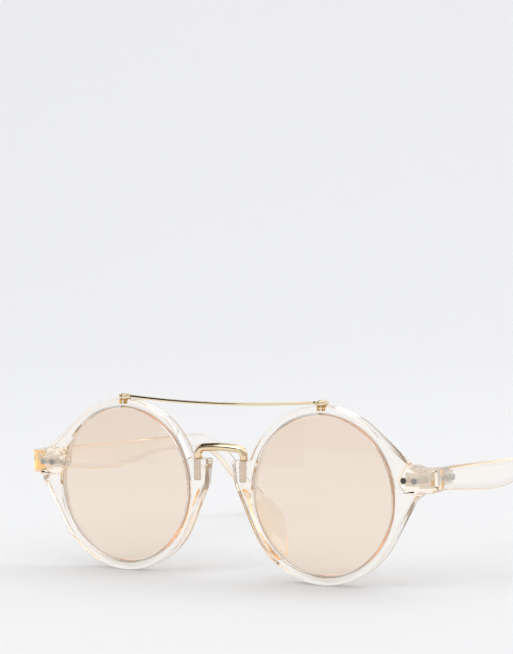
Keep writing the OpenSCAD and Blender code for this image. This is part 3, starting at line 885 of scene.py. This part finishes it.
class SunglassesLook(bpy.types.PropertyGroup):
    plastic_colour: colour("Plastic", (0.98, 0.62, 0.08), "What long light paths in the plastic turn to")
    plastic_density: number("Plastic density", 20, "Strength of that colour")
    # painted glow in the plastic: emitted light standing in for light gathered in the body, its strength and its
    # colour
    plastic_painted_glow: number("Plastic haze", 18, "Light gathered in the body")
    plastic_painted_glow_colour: colour("Plastic haze colour", (1.0, 0.68, 0.34), "Colour of the light gathered in the body")
    # painted glow: emitted light on the sunk gilt legs and on the hinge metal, standing in for light that the plastic
    # gathers onto the metal
    painted_sunk_glow: number("Sunk glow", 0.16, "Light that the plastic gathers onto the metal sunk in it")
    # also raises the plastic's painted glow in the pads
    pad_depth: number("Pad depth", 4.5, "How much deeper the pads' colour is")
    ground_colour: colour("Ground lens edge", (0.6, 0.44, 0.35), "Colour of the ground edge of a lens")
    # painted glow in the lens: emitted light standing in for light gathered in it
    lens_painted_glow: number("Lens haze", 12, "Light gathered in the lens")
    lens_colour: colour("Lens", (0.985, 0.65, 0.305), "Tint of the lens body")
    lens_density: number("Lens density", 40, "Strength of the lens tint")
    lens_low_colour: colour("Lens low", (0.93, 0.83, 0.73), "Extra tint at the foot of the lens")
    lens_top_colour: colour("Lens top", (0.92, 0.795, 0.69), "Extra tint at the top of the lens")
    gilt_colour: colour("Gilt", (0.95, 0.8, 0.56), "Gilt plating")
    gilt_deep_colour: colour("Deep gilt", (0.88, 0.71, 0.46), "Deeper patches of the plating")
    bare_colour: colour("Bare brass", (0.62, 0.5, 0.4), "Legs inside the plastic")
    hinge_colour: colour("Hinge", (0.94, 0.93, 0.9), "Hinge metal")
    pin_colour: colour("Pins", (0.75, 0.72, 0.68), "Hinge pins")
    floor_colour: colour("Floor", (0.85, 0.85, 0.853), "Pale paper")


class SunglassesStage(bpy.types.PropertyGroup):
    floor_front: length("Floor front", 1500, "Paper in front of the glasses")
    floor_back: length("Floor back", 900, "Flat paper behind the glasses")
    curl_radius: length("Curl radius", 1200, "Radius of the paper's upward curve")
    wall_height: length("Wall height", 900, "Height of the paper above its curve")
    paper_width: length("Paper width", 4000, "Width of the paper")
    room_light: number("Room light", 0.56, "Light from all round")
    back_power: number("Back power", 21, "Large softbox", unit="POWER")
    front_power: number("Front power", 9, "Softbox over the camera", unit="POWER")
    side_power: number("Side power", 5, "Side softboxes", unit="POWER")
    focal: number("Focal length", 130.65, "Lens of the camera")


GROUPS = {
    "rim": SunglassesRim, "lens": SunglassesLens, "pad": SunglassesPad, "temple": SunglassesTemple,
    "bridge": SunglassesBridge, "brow": SunglassesBrow, "look": SunglassesLook, "stage": SunglassesStage,
}


def group(key):
    return getattr(bpy.context.scene, "sunglasses_" + key)


def finish(name):
    """A finish by its slot's name, made once."""
    found = bpy.data.materials.get(FINISH_NAME + name)
    if found:
        return found
    look = group("look")
    makers = {
        "clear_plastic": lambda: clear_plastic(look, "clear_plastic", 1),
        "pad_plastic": lambda: clear_plastic(look, "pad_plastic", look.pad_depth),
        "tinted_lens": lambda: tinted_lens(look),
        "gilt_metal": lambda: gilt_metal(look),
        "hinge_metal": lambda: brushed_metal("hinge_metal", tuple(look.hinge_colour), 0.22, look.painted_sunk_glow),
        "pin_metal": lambda: brushed_metal("pin_metal", tuple(look.pin_colour), 0.35, look.painted_sunk_glow),
        "pale_paper": lambda: floor_finish(look),
        "black_card": black_card,
    }
    return makers[name]()


# ---- operators ----

class Maker(bpy.types.Operator):
    """Shared by the operators below."""
    bl_options = {"REGISTER", "UNDO"}

    def execute(self, context):
        self.build()
        return {"FINISHED"}


class SUNGLASSES_OT_rims(Maker):
    """Make both clear rims with their end pieces and bridge lugs"""
    bl_idname = "sunglasses.rims"
    bl_label = "Rims"

    def build(self):
        sizes = group("rim")
        for name, side in SIDES.items():
            rim = make_piece(name + "_rim_clear", [rim_grid(sizes)], side)
            block = make_piece(name + "_block", [hinge_block_grid(sizes)], side)
            combine(rim, block, "UNION")
            for grid in hinge_pocket_grids(sizes):
                combine(rim, make_piece("pocket", [grid], side), "DIFFERENCE")
            place_piece(rim, "front", "clear_plastic", finish("clear_plastic"), name + "_rim")


class SUNGLASSES_OT_lenses(Maker):
    """Make both tinted lenses with bevelled edges"""
    bl_idname = "sunglasses.lenses"
    bl_label = "Lenses"

    def build(self):
        for name, side in SIDES.items():
            grid = stand_along_y(revolve(lens_profile(group("lens")), 192)) + (LENS_X, 0, 0)
            lens = make_piece(name + "_lens_tinted", [grid], side, math.radians(20))
            place_piece(lens, "front", "tinted_lens", finish("tinted_lens"), name + "_lens")


class SUNGLASSES_OT_nose_pads(Maker):
    """Make both clear nose pads"""
    bl_idname = "sunglasses.nose_pads"
    bl_label = "Nose pads"

    def build(self):
        for name, side in SIDES.items():
            pad = make_piece(name + "_nose_pad_clear", [nose_pad_grid(group("pad"))], side, math.radians(60))
            place_piece(pad, "front", "clear_plastic", finish("pad_plastic"), name + "_nose_pad")


class SUNGLASSES_OT_bridge(Maker):
    """Make the gilt saddle bridge and the pins through its legs"""
    bl_idname = "sunglasses.bridge"
    bl_label = "Bridge"

    def build(self):
        bridge = make_piece("saddle_bridge", [bridge_grid(group("bridge"))])
        place_piece(bridge, "front", "gilt_metal", finish("gilt_metal"), "bridge")
        low, high = bridge_pin_low - ORIGIN, bridge_pin_high - ORIGIN
        radius = (high[2] - low[2]) / 2
        pin = stand_along_y(revolve(pin_profile(radius, high[1] - low[1], 0.2), 48))
        at = np.array([high[0] - radius, low[1], (low[2] + high[2]) / 2])
        pins = make_piece("bridge_leg_pins", [pin + at, pin + at * (-1, 1, 1)])
        place_piece(pins, "front", "gilt_metal", finish("gilt_metal"), "bridge_pins")


class SUNGLASSES_OT_brow_bar(Maker):
    """Make the gilt brow bar with its bushes and screws"""
    bl_idname = "sunglasses.brow_bar"
    bl_label = "Brow bar"

    def build(self):
        sizes = group("brow")
        bar = make_piece("brow_bar_strip", [brow_bar_grid(sizes)])
        place_piece(bar, "front", "gilt_metal", finish("gilt_metal"), "brow_bar")
        depth = sizes.depth_place / MM
        for name, side in SIDES.items():
            cup = revolve(bush_profile(sizes), 64) + (LENS_X, depth, bush_low[2] - ORIGIN[2])
            bush = make_piece(name + "_brow_cup", [cup], side)
            place_piece(bush, "front", "gilt_metal", finish("gilt_metal"), name + "_brow_bush")
        screw = revolve(brow_screw_profile(sizes), 64)
        at = np.array([LENS_X, depth, sizes.top / MM])
        screws = make_piece("brow_bar_screws", [screw + at, screw + at * (-1, 1, 1)])
        place_piece(screws, "front", "gilt_metal", finish("gilt_metal"), "brow_screws")


class SUNGLASSES_OT_hinges(Maker):
    """Finish the hinges, their screws and their pins"""
    bl_idname = "sunglasses.hinges"
    bl_label = "Hinges"

    def build(self):
        satin = [side + part for side in SIDES for part in ("_front_hinge", "_hinge_screw", "_temple_hinge")]
        for node in satin:
            self.dress(node, "hinge_metal")
        for node in ("front_hinge_pins", "left_temple_pins", "right_temple_pins"):
            self.dress(node, "pin_metal")

    def dress(self, node, slot):
        """Welds the node's loose triangles, breaks its edges and gives it its finish."""
        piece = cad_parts[node]
        piece.data.materials.clear()
        piece.data.materials.append(finish(slot))
        weld = piece.modifiers.new("weld", "WELD")
        weld.merge_threshold = MERGE
        bevel = piece.modifiers.new("edges", "BEVEL")
        bevel.width, bevel.segments, bevel.angle_limit = 0.09 * MM, 2, math.radians(40)
        bevel.harden_normals = True


class SUNGLASSES_OT_temples(Maker):
    """Make both clear temples"""
    bl_idname = "sunglasses.temples"
    bl_label = "Temples"

    def build(self):
        for name, side in SIDES.items():
            temple = make_piece(name + "_temple_clear", [temple_grid(group("temple"))], side, math.radians(50))
            place_piece(temple, name + "_arm", "clear_plastic", finish("clear_plastic"), name + "_temple")


class SUNGLASSES_OT_stage(Maker):
    """Make the camera, the paper and the lights"""
    bl_idname = "sunglasses.stage"
    bl_label = "Stage"

    def build(self):
        self.camera()
        self.paper()
        self.lights()

    def camera(self):
        data = bpy.data.cameras.new("camera")
        data.lens, data.sensor_width, data.clip_start = group("stage").focal, 36, 0.02
        camera = add_object("camera", data)
        right, ahead = CAMERA_RIGHT, CAMERA_AHEAD
        up = right.cross(ahead)
        place = (Vector(CAMERA_PLACE) + Vector(ORIGIN)) * MM
        camera.matrix_world = Matrix((
            (right.x, up.x, -ahead.x, place.x), (right.y, up.y, -ahead.y, place.y),
            (right.z, up.z, -ahead.z, place.z), (0, 0, 0, 1),
        ))
        bpy.context.scene.camera = camera

    def paper(self):
        """A sheet of paper: flat from in front of the glasses, then a quarter circle up to a wall behind them.
        The same profile is carried across the view."""
        s = group("stage")
        curl, flat = s.curl_radius / MM, s.floor_back / MM
        turn = np.linspace(0, np.pi / 2, 40)
        back = np.concatenate([[-s.floor_front / MM, 0], flat + curl * np.sin(turn), [flat + curl]])
        height = np.concatenate([[0, 0], curl * (1 - np.cos(turn)), [curl + s.wall_height / MM]])
        across = np.array([-1, 1]) * s.paper_width / MM / 2
        along = np.stack([VIEW_AHEAD[0] * back, VIEW_AHEAD[1] * back, height], -1)
        grid = along[:, None] + across[:, None] * np.array([VIEW_AHEAD[1], -VIEW_AHEAD[0], 0])
        count = len(back)
        quads = [(2 * k, 2 * k + 1, 2 * k + 3, 2 * k + 2) for k in range(count - 1)]
        mesh = bpy.data.meshes.new("paper")
        mesh.from_pydata(grid.reshape(-1, 3) * MM, [], quads)
        tidy_mesh(mesh, math.pi)
        paper = add_object("paper", mesh)
        if mesh.polygons[0].normal.z < 0:
            mesh.flip_normals()
        mesh.materials.append(finish("pale_paper"))

    def around(self, ahead, right, up):
        """A place given from the glasses along the view, to its right and upwards."""
        return Vector((
            VIEW_AHEAD[0] * ahead + VIEW_AHEAD[1] * right, VIEW_AHEAD[1] * ahead - VIEW_AHEAD[0] * right, up,
        ))

    def light(self, name, place, aim, size, power):
        """A softbox of a width and a height in metres that faces its aim."""
        data = bpy.data.lights.new(name, "AREA")
        data.shape, data.size, data.size_y, data.energy = "RECTANGLE", *size, power
        lamp = add_object(name, data)
        lamp.location = place
        lamp.rotation_euler = (aim - place).to_track_quat("-Z", "Y").to_euler()
        lamp.visible_camera = False

    def card(self, name, centre, across, along):
        """A black card that only reflections see."""
        centre, across, along = Vector(centre), Vector(across) / 2, Vector(along) / 2
        corners = [centre + i * across + j * along for i, j in ((-1, -1), (1, -1), (1, 1), (-1, 1))]
        mesh = bpy.data.meshes.new(name)
        mesh.from_pydata(corners, [], [(0, 1, 2, 3)])
        mesh.materials.append(finish("black_card"))
        card = add_object(name, mesh)
        card.visible_camera = card.visible_diffuse = card.visible_transmission = card.visible_shadow = False

    def lights(self):
        s = group("stage")
        world = bpy.data.worlds.new("studio")
        bpy.context.scene.world = world
        world.use_nodes = True
        background = world.node_tree.nodes["Background"]
        background.inputs["Color"].default_value = (0.97, 0.98, 1.0, 1)
        background.inputs["Strength"].default_value = s.room_light
        here = Vector((0, 0, 0.03))
        self.light("back_softbox", self.around(0.7, 0, 2.2), self.around(0.4, 0, 0), (3.2, 2.4), s.back_power)
        self.light("front_softbox", self.around(-1.1, 0, 2.0), self.around(-0.2, 0, 0), (2.6, 1.4), s.front_power)
        self.light("left_softbox", self.around(-0.8, -1.3, 1.15), here, (0.8, 0.9), s.side_power)
        self.light("right_softbox", self.around(0.2, 1.6, 1.1), here, (0.9, 1.1), s.side_power)
        self.card("front_card", self.around(-0.215, -0.56, 0.1), self.around(0.2, -0.077, 0), (0, 0, 0.34))
        self.card("top_card", (-0.42, 0.15, 0.5), (0.2, 0, 0), (0, 0.9, 0))
        self.card("bridge_card", (-0.47, -0.34, 0.5), (0.2, 0, 0), (0.33, 0.88, 0))
        bpy.context.scene.view_settings.view_transform = "Standard"


MAKERS = (
    SUNGLASSES_OT_rims, SUNGLASSES_OT_lenses, SUNGLASSES_OT_nose_pads, SUNGLASSES_OT_bridge,
    SUNGLASSES_OT_brow_bar, SUNGLASSES_OT_hinges, SUNGLASSES_OT_temples, SUNGLASSES_OT_stage,
)


class SUNGLASSES_PT_panel(bpy.types.Panel):
    """Lists the pieces"""
    bl_idname = "SUNGLASSES_PT_panel"
    bl_label = "Sunglasses"
    bl_space_type = "VIEW_3D"
    bl_region_type = "UI"
    bl_category = "Sunglasses"

    def draw(self, context):
        for maker in MAKERS:
            self.layout.operator(maker.bl_idname)


CLASSES = (*GROUPS.values(), *MAKERS, SUNGLASSES_PT_panel)


def register():
    for each in CLASSES:
        bpy.utils.register_class(each)
    for key, kind in GROUPS.items():
        setattr(bpy.types.Scene, "sunglasses_" + key, bpy.props.PointerProperty(type=kind))


def unregister():
    for key in GROUPS:
        delattr(bpy.types.Scene, "sunglasses_" + key)
    for each in reversed(CLASSES):
        bpy.utils.unregister_class(each)


def main():
    register()
    bpy.ops.sunglasses.stage()
    bpy.ops.sunglasses.rims()
    bpy.ops.sunglasses.lenses()
    bpy.ops.sunglasses.nose_pads()
    bpy.ops.sunglasses.bridge()
    bpy.ops.sunglasses.brow_bar()
    bpy.ops.sunglasses.hinges()
    bpy.ops.sunglasses.temples()
    bpy.context.view_layer.update()


if __name__ == "__main__":
    main()
